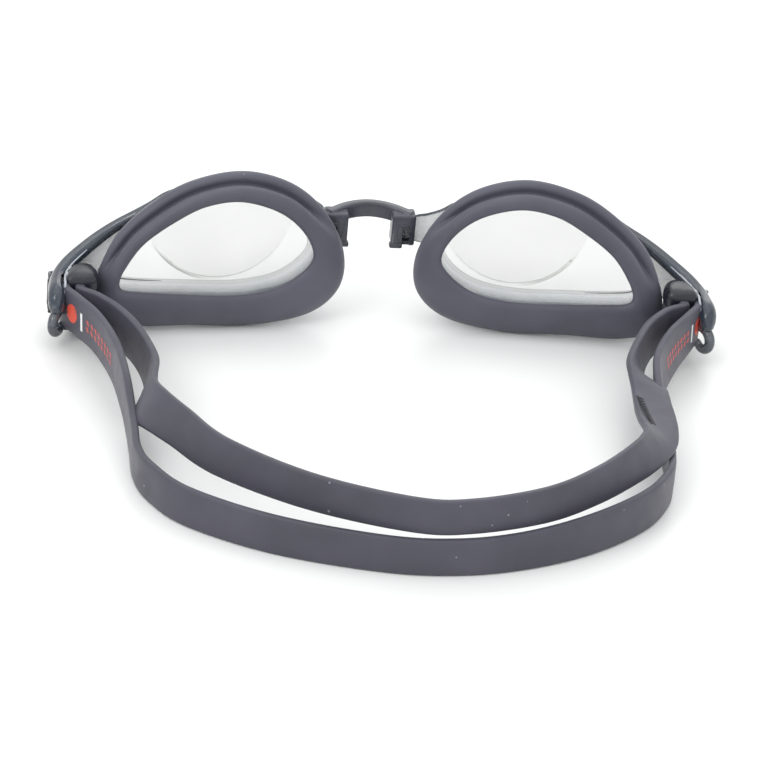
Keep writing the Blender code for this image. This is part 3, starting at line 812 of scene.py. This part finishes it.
BAR = (72.5, 47.5)
DOME_OUTLINE = (
    (76.2, 42.6, 0), (76.3, 45.6, 0), (75.2, 49.0, 0), (73.2, 50.9, 0), (70.8, 51.0, 0),
    (69.1, 49.2, 0), (68.5, 46.0, 0), (68.9, 43.2, 0), (71.0, 42.2, 0), (74.0, 42.1, 0),
)
DOME_MIDDLE = Vector((72.6, 46.5, 0))
# The dome's levels, as their height and the outline's scale there.
DOME_LEVELS = (
    (12.6, 0.93), (12.8, 0.98), (13.2, 1.0), (14.4, 1.0), (15.4, 0.97), (16.1, 0.9),
    (16.6, 0.78), (16.9, 0.6), (17.0, 0.36), (17.05, 0.14),
)
HOOK_KNOTS = (
    (77.2, 40.9, 8.6, 1.0), (77.9, 39.8, 8.7, 1.15), (78.7, 38.5, 8.2, 1.25),
    (79.2, 37.5, 6.9, 1.25), (79.2, 37.4, 5.2, 1.25), (78.6, 38.4, 3.9, 1.25),
    (77.7, 39.9, 3.7, 1.1), (77.1, 40.9, 4.6, 0.85),
)
PLATE_LOW, PLATE_HIGH = 2.3, 4.05


def make_dome(side, label):
    """The rounded cover over the strap's turn, as rings that close in towards the top."""
    outline = spline(DOME_OUTLINE, 60, closed=True)
    rings = []
    for z, spread in DOME_LEVELS:
        middle = DOME_MIDDLE + Vector((0, 0, z))
        rings.append([middle + (Vector(p) - DOME_MIDDLE) * spread for p in outline])
    shape = bmesh.new()
    skin(shape, rings)
    return finish_mesh(shape, f"{label}_dome", side)


def make_buckle(side, label):
    """A clip inside the arm: cheek, domed cover over the strap's turn, lower plate and hook."""
    clip = box(f"{label}_strap_clip", (76.5, 43.0, PLATE_LOW), (77.3, 46.2, 15.4), side)
    nose = []
    for k in range(21):
        angle = math.pi * k / 20
        nose.append((BAR[0] + 3.7 * math.cos(angle), BAR[1] + 4.0 * math.sin(angle)))
    outline = [(77.3, 43.0), (77.3, 46.2), *nose, (68.9, 43.6), (71.1, 42.2)]
    plate = raised("plate", outline, PLATE_LOW, PLATE_HIGH, side)
    combined(clip, [plate], "UNION")
    window = box("window", (75.0, 42.6, 8.2), (78.0, 45.6, 11.8), side)
    combined(clip, [window], "DIFFERENCE")
    softened(clip, 0.3, 3, 50)
    combined(clip, [make_dome(side, label)], "UNION")
    dress(clip, "black_nylon", NYLON)
    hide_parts(f"{label}_buckle")

    hook = tube(f"{label}_clip_hook", HOOK_KNOTS, 48, side, 20)
    dress(hook, "frame_smoke", RAIL)


def make_lever(side, label):
    """A thumb plate outside the arm with finger ridges, its knuckle turning on the pin."""
    x = LEVER_AXIS[0] + 0.5
    outline = [
        (x - 0.45, 49.4), (x - 0.45, 41.6), (x - 0.2, 41.1), (x + 0.35, 41.0), (x + 0.6, 41.4),
        (x + 0.5, 44.0), (x + 0.55, 47.0), (x + 0.45, 49.4),
    ]
    plate = raised(f"{label}_thumb_lever", outline, LEVER_LOW, LEVER_HIGH, side)
    knuckle = post("knuckle", LEVER_AXIS, 1.1, LEVER_LOW, LEVER_HIGH, side)
    tooth = box("tooth", (77.8, 43.6, 8.8), (x, 45.4, 11.2), side)
    ridges = [
        post(f"ridge_{number}", (x + 0.42, 42.2 + 1.1 * number), 0.28, 8.2, 11.6, side, 12)
        for number in range(4)
    ]
    combined(plate, [knuckle, tooth, *ridges], "UNION")
    bore = post("bore", LEVER_AXIS, 0.8, LEVER_LOW - 1, LEVER_HIGH + 1, side, 24)
    combined(plate, [bore], "DIFFERENCE")
    softened(plate, 0.12, 2, 50)
    dress(plate, "black_nylon", NYLON, body=f"{label}_lever")
    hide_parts(f"{label}_release_lever")


# --- Strap ---

# Knots of (x, y, z, lean, height) round the strap's one closed loop. The ribbon's left-hand side is
# the loop's inside on the lower run and its outside on the upper one, so a lean towards the inside
# is positive below and negative above.
LOWER_RUN = (
    (5.0, -65.6, 4.4, 0, 8.8), (20.0, -62.6, 4.6, 0, 9.2), (35.5, -55.6, 5.0, 0, 10.0),
    (49.2, -44.8, 5.1, 0, 10.2), (56.5, -33.6, 4.9, 0, 9.8), (58.9, -24.0, 4.6, 0, 9.0),
    (59.7, -15.5, 4.7, 0, 8.6), (60.0, -5.0, 5.9, 0, 8.6),
)
RIGHT_OUTER = (
    (60.7, 5.5, 7.9, 6, 9.6), (62.7, 14.8, 9.2, 13, 10.3), (67.6, 26.0, 9.6, 12, 10.5),
    (72.9, 35.2, 9.6, 5, 10.5), (76.2, 41.3, 9.6, 0, 10.5), (76.0, 44.6, 9.6, 0, 10.5),
)
RIGHT_INNER = (
    (70.4, 44.8, 9.6, 0, 10.5), (72.0, 43.0, 9.6, 0, 10.5), (73.4, 41.8, 9.6, 0, 10.5),
    (72.3, 40.7, 9.6, 0, 10.5), (69.6, 39.2, 9.6, 0, 10.5), (66.9, 36.9, 9.6, 0, 10.5),
    (62.4, 30.3, 9.6, -3, 10.5), (58.9, 21.6, 9.6, -9, 10.5), (57.3, 14.8, 9.9, -22, 10.5),
    (57.0, 10.0, 10.7, -40, 10.3), (57.4, 5.8, 11.7, -60, 9.7), (57.5, 1.0, 12.0, -74, 9.3),
    (57.2, -4.8, 11.6, -80, 9.2), (57.0, -10.5, 11.3, -78, 9.8),
)
UPPER_RUN = (
    (56.6, -16.5, 11.5, -71, 10.0), (55.8, -22.4, 12.0, -59, 9.6), (53.6, -28.8, 12.8, -40, 8.8),
    (48.4, -36.6, 13.1, -20, 8.9), (37.8, -47.8, 13.1, -8, 8.8), (25.0, -57.4, 13.2, -2, 8.6),
    (8.0, -63.4, 13.3, 0, 8.4), (-5.0, -63.2, 13.3, 0, 8.4), (-26.3, -53.8, 13.2, -6, 8.5),
    (-44.6, -38.2, 12.8, -16, 9.0), (-53.2, -24.4, 12.7, -26, 9.4), (-58.2, -15.6, 12.4, -30, 10.2),
)
LEFT_INNER = (
    (-60.1, -9.5, 11.0, -26, 11.6), (-59.4, -4.0, 10.3, -18, 11.4), (-57.7, 5.0, 9.8, -8, 10.8),
    (-58.4, 13.7, 9.6, -2, 10.5), (-60.6, 22.7, 9.6, 0, 10.5), (-64.4, 31.4, 9.6, 0, 10.5),
    (-68.4, 37.2, 9.6, 0, 10.5), (-70.6, 39.2, 9.6, 0, 10.5), (-72.7, 40.8, 9.6, 0, 10.5),
    (-73.5, 41.9, 9.6, 0, 10.5), (-72.0, 43.0, 9.6, 0, 10.5), (-70.4, 44.8, 9.6, 0, 10.5),
)
LEFT_OUTER = (
    (-76.0, 44.6, 9.6, 0, 10.5), (-76.2, 41.3, 9.6, 0, 10.5), (-73.5, 36.2, 9.6, 0, 10.5),
    (-69.2, 27.2, 9.6, 0, 10.5), (-65.6, 13.5, 9.4, 0, 10.5), (-63.8, 0.0, 8.2, 0, 10.0),
    (-62.9, -8.0, 5.8, 0, 9.0),
)
LOWER_RETURN = (
    (-62.5, -15.5, 4.6, 0, 8.6), (-62.2, -26.5, 4.5, 0, 8.8), (-59.6, -35.6, 4.7, 0, 9.4),
    (-52.0, -46.4, 4.7, 0, 9.4), (-34.0, -57.6, 4.6, 0, 9.2), (-11.0, -64.6, 4.4, 0, 8.8),
)
STRAP_THICKNESS = 1.8
# The strap's middle height and its width where it turns round a bar.
TURN_RADIUS, TURN_Z, TURN_HEIGHT = 2.7, 9.6, 10.5


def turn_knots(side):
    """Half a turn round a strap bar, from the outer layer to the inner one on the right."""
    knots = []
    for step in range(1, 12):
        angle = math.pi * step / 12
        x = BAR[0] + TURN_RADIUS * math.cos(angle)
        y = BAR[1] + TURN_RADIUS * math.sin(angle)
        knots.append((side * x, y, TURN_Z, 0, TURN_HEIGHT))
    return knots if side > 0 else knots[::-1]


def strap_section(height):
    """Points of (along the height, through the thickness) round a flat, round-edged section."""
    radius = 0.62
    across, through = height / 2 - radius, STRAP_THICKNESS / 2 - radius
    points = []
    for sign_h, sign_t, start in ((1, 1, 0), (-1, 1, 90), (-1, -1, 180), (1, -1, 270)):
        for step in range(5):
            angle = math.radians(start + 22.5 * step)
            high = sign_h * across + radius * math.cos(angle)
            points.append((high, sign_t * through + radius * math.sin(angle)))
        if start in (0, 180):
            for share in (0.6, 0.2, -0.2, -0.6):
                bulge = STRAP_THICKNESS / 2 + 0.07 * (1 - share**2)
                points.append((sign_h * share * across, sign_t * bulge))
    return points


def ribbon_frames(knots, count):
    """Stations of the closed ribbon: middle, unit edge and face directions, and height."""
    line = spline(knots, count, closed=True)
    frames = []
    for index, (x, y, z, lean, height) in enumerate(line):
        along = heading(line, index, closed=True)
        side = Vector((-along.y, along.x, 0)).normalized()
        up = Vector((0, 0, 1))
        tilt = math.radians(lean)
        edge = up * math.cos(tilt) + side * math.sin(tilt)
        face = side * math.cos(tilt) - up * math.sin(tilt)
        frames.append((Vector((x, y, z)), edge, face, height))
    return frames


STRAP_KNOTS = (
    *LOWER_RUN, *RIGHT_OUTER, *turn_knots(1), *RIGHT_INNER, *UPPER_RUN,
    *LEFT_INNER, *turn_knots(-1), *LEFT_OUTER, *LOWER_RETURN,
)
STRAP_COUNT = 700
STRAP_FRAMES = ribbon_frames(STRAP_KNOTS, STRAP_COUNT)


def make_strap():
    """The whole strap as one closed ribbon."""
    rings = []
    for middle, edge, face, height in STRAP_FRAMES:
        rings.append([middle + edge * h + face * t for h, t in strap_section(height)])
    shape = bmesh.new()
    skin(shape, rings, closed=True)
    thing = finish_mesh(shape, "silicone_strap", 1, 80)
    dress(thing, "strap_silicone", STRAP)
    nodes = ["upper_band", "lower_band"]
    for _, label in SIDES:
        nodes += [f"{label}_strap_{part}" for part in ("outer", "turn", "inner", "keeper")]
    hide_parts(*nodes)


def strap_station(x, y):
    """The number of the strap station nearest to a plan point."""
    away = [math.dist(middle[:2], (x, y)) for middle, *_ in STRAP_FRAMES]
    return away.index(min(away))


def strap_spot(station, high, out):
    """A point off one face (out below 0: the other), at a fractional station and a height."""
    whole = math.floor(station)
    share = station - whole
    near, far = STRAP_FRAMES[whole % STRAP_COUNT], STRAP_FRAMES[(whole + 1) % STRAP_COUNT]
    middle, edge, face = (a.lerp(b, share) for a, b in zip(near[:3], far[:3]))
    return middle + edge * high - face * (math.copysign(STRAP_THICKNESS / 2, out) + out)


def add_mark(shape, outline, material, facing=1):
    """A thin slab on one face of the strap, from points of (station, height)."""
    rings = []
    middle = [sum(values) / len(outline) for values in zip(*outline)]
    for share, out in ((1.0, 0.02), (1.0, 0.12), (0.5, 0.13)):
        ring = []
        for point in outline:
            spot = (m + (v - m) * share for m, v in zip(middle, point))
            ring.append(strap_spot(*spot, out * facing))
        rings.append(ring)
    skin(shape, rings, material=material)


# A mark's points are (steps along, height). There are MARK_STEPS steps between the plan points of
# its two places.
MARK_STEPS = 12
MARK_BAR = ((2.5, 2.0), (2.85, 2.0), (3.05, -2.4), (2.7, -2.4))
MARK_DASH = ((0.0, 1.25), (0.42, 1.25), (0.72, 0.15), (0.30, 0.15))
MARK_PLACES = {"right": ((76.2, 41.3), (64.6, 17.0)), "left": ((-74.9, 38.8), (-65.4, 12.0))}
SLIT_PLACES = ((57.3, -5.5), (56.3, -20.0))
SLIT_LINE = ((-0.4, 4.1), (12.4, 3.0), (12.4, 2.6), (-0.4, 3.7))


def mark_row(places):
    """The first place's strap station, and the number of stations in one step."""
    first, last = strap_station(*places[0]), strap_station(*places[1])
    return first, (last - first) / MARK_STEPS


def make_marks(label):
    """Plain printed marks on the outer layer: an oval spot, a pale bar and slanted dashes."""
    shape = bmesh.new()
    first, step = mark_row(MARK_PLACES[label])
    spot = []
    for k in range(28):
        angle = math.tau * k / 28
        spot.append((first + step * (0.9 + 0.95 * math.cos(angle)), 0.1 + 2.3 * math.sin(angle)))
    add_mark(shape, spot, 0)
    add_mark(shape, [(first + step * a, h) for a, h in MARK_BAR], 1)
    for number in range(8):
        begin = 3.7 + number * 1.0
        for level in (0.0, -1.7):
            dash = [(first + step * (begin + a), h + level + 0.2) for a, h in MARK_DASH]
            add_mark(shape, dash, 2)
    thing = finish_mesh(shape, f"{label}_strap_marks", 1)
    dress(thing, "strap_silicone", RED_INK, WHITE_INK, ROSE_INK)


def make_slit():
    """The ribbed adjusting slot in the right side's broad leaning face, drawn as near-black slabs
    on the face: painted shade for the slot's inside.
    """
    shape = bmesh.new()
    first, step = mark_row(SLIT_PLACES)
    outlines = [SLIT_LINE]
    for number in range(12):
        high = 3.8 - 0.1 * number
        upper = ((number, high), (number + 0.5, high))
        outlines.append((*upper, (number + 0.7, high - 1.2), (number + 0.2, high - 1.2)))
    for outline in outlines:
        add_mark(shape, [(first + step * a, h) for a, h in outline], 0, -1)
    thing = finish_mesh(shape, "right_slot_ribs", 1)
    dress(thing, "strap_silicone", SLOT_SHADE)


# --- Nose bridge ---

# Half of the arch's middle line, from its right end to the middle.
ARCH_HALF = (
    (10.3, 66.6, 23.0), (8.6, 67.8, 23.2), (6.4, 69.3, 23.45), (4.2, 70.3, 23.65),
    (2.1, 70.9, 23.75), (0.0, 71.1, 23.8),
)
# The arch's half depth and half height, and the power that squares off its oval section.
ARCH_DEEP, ARCH_HIGH, ARCH_POWER = 1.3, 2.0, 0.4
ARCH_AROUND = 28


def make_arch():
    """The wide flat arch over the nose."""
    left_half = [(-x, y, z) for x, y, z in ARCH_HALF[-2::-1]]
    line = spline([*ARCH_HALF, *left_half], 64)
    rings = []
    for index, point in enumerate(line):
        along = heading(line, index)
        across = Vector((-along.y, along.x, 0)).normalized()
        ring = []
        for step in range(ARCH_AROUND):
            angle = math.tau * step / ARCH_AROUND
            c, s = math.cos(angle), math.sin(angle)
            deep = ARCH_DEEP * math.copysign(abs(c) ** ARCH_POWER, c)
            high = ARCH_HIGH * math.copysign(abs(s) ** ARCH_POWER, s)
            ring.append(Vector(point) + across * deep + Vector((0, 0, high)))
        rings.append(ring)
    shape = bmesh.new()
    skin(shape, rings)
    return finish_mesh(shape, "nose_arch", 1, 60)


def make_bridge():
    """The arch, with a recessed clip block at each end."""
    arch = make_arch()
    for side, _ in SIDES:
        block = box("block", (5.4, 65.0, 16.6), (11.2, 70.0, 24.6), side)
        softened(block, 0.6, 3)
        slot = box("slot", (7.3, 65.8, 17.5), (11.9, 68.7, 23.7), side)
        recess = box("recess", (8.0, 64.0, 16.0), (9.8, 65.9, 21.2), side)
        combined(block, [slot, recess], "DIFFERENCE")
        lip = box("lip", (5.0, 64.5, 16.0), (8.2, 66.6, 17.3), side)
        softened(lip, 0.45, 3)
        badge = box("badge", (7.6, 64.8, 21.8), (9.6, 65.4, 22.3), side)
        softened(badge, 0.12, 2)
        combined(block, [lip, badge], "UNION")
        combined(arch, [block], "UNION")
    arch.data.transform(Matrix.Translation((BRIDGE_SHIFT * MM, 0, 0)))
    dress(arch, "black_nylon", BRIDGE_NYLON, body="bridge")
    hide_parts("nose_bridge")


# --- Setting ---

FLOOR_HALF, FLOOR_DROP = 2500, 0.05
SKY = (0.985, 0.992, 1.0, 1.0)
SKY_STRENGTH = 1.06
# Area lights aimed at the origin: name, place in metres, size in metres and power in watts.
LIGHTS = (
    ("Overhead", (-0.10, 0.10, 1.0), 1.1, 2.2),
    ("Key", (-0.6, -0.45, 0.7), 0.4, 1.9),
    ("Back", (0.25, 0.9, 0.6), 0.6, 1.0),
)
# The camera's angles in degrees, its focal length and film width, its distance in metres from the
# point it is aimed at, and that point.
AZIMUTH, ELEVATION, ROLL = -8.5, 27, 5.3
FOCAL_LENGTH, FILM_WIDTH = 173.7, 36
CAMERA_AWAY = 0.85
AIM = Vector((-4.7, -CENTRE_Y, 12)) * MM


def make_floor():
    """A wide white studio floor."""
    shape = bmesh.new()
    bmesh.ops.create_grid(shape, x_segments=1, y_segments=1, size=FLOOR_HALF)
    bmesh.ops.translate(shape, vec=(0, 0, -FLOOR_DROP), verts=shape.verts)
    floor = finish_mesh(shape, "studio_floor")
    look = Shader("Studio floor", 0.32, Specular_IOR_Level=0.28)
    tone = look.mix(look.noise(3.0), (0.90, 0.905, 0.895), (0.92, 0.925, 0.915))
    look.put("Base Color", tone)
    floor.data.materials.append(look.material)


def make_light():
    """The white surroundings and three soft lights."""
    world = bpy.data.worlds.new("Studio")
    bpy.context.scene.world = world
    world.use_nodes = True
    background = world.node_tree.nodes["Background"]
    background.inputs["Color"].default_value = SKY
    background.inputs["Strength"].default_value = SKY_STRENGTH
    for name, spot, size, power in LIGHTS:
        data = bpy.data.lights.new(name, "AREA")
        data.size = size
        data.energy = power
        light = bpy.data.objects.new(name, data)
        light.location = spot
        light.rotation_euler = (-Vector(spot)).to_track_quat("-Z", "Y").to_euler()
        bpy.context.scene.collection.objects.link(light)


def make_camera():
    """The photo's view: from behind and above, a little to the left, and slightly rolled."""
    azimuth, elevation, roll = (math.radians(angle) for angle in (AZIMUTH, ELEVATION, ROLL))
    level = math.cos(elevation)
    forward = Vector((-math.sin(azimuth) * level, math.cos(azimuth) * level, -math.sin(elevation)))
    right = Vector((math.cos(azimuth), math.sin(azimuth), 0))
    up = right.cross(forward)
    turned_right = right * math.cos(roll) + up * math.sin(roll)
    turned_up = up * math.cos(roll) - right * math.sin(roll)
    data = bpy.data.cameras.new("Camera")
    data.sensor_width = FILM_WIDTH
    data.lens = FOCAL_LENGTH
    data.clip_start = 0.01
    data.clip_end = 20
    camera = bpy.data.objects.new("Camera", data)
    turn = Matrix((turned_right, turned_up, -forward)).transposed().to_4x4()
    camera.matrix_world = Matrix.Translation(AIM - forward * CAMERA_AWAY) @ turn
    bpy.context.scene.collection.objects.link(camera)
    bpy.context.scene.camera = camera


# --- The whole scene ---


def dress_kept(label):
    """New materials for the CAD pieces that the visual model keeps."""
    for node, material in ((f"{label}_strap_bar", NYLON), (f"{label}_lever_pin", STEEL)):
        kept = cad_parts[node]
        kept.data.materials.clear()
        kept.data.materials.append(material)


for side, label in SIDES:
    make_gasket(side, label)
    make_lens(side, label)
    make_frame(side, label)
    make_buckle(side, label)
    make_lever(side, label)
    dress_kept(label)
make_strap()
for side, label in SIDES:
    make_marks(label)
make_slit()
make_bridge()
make_floor()
make_light()
make_camera()
bpy.context.scene.view_settings.view_transform = "Standard"
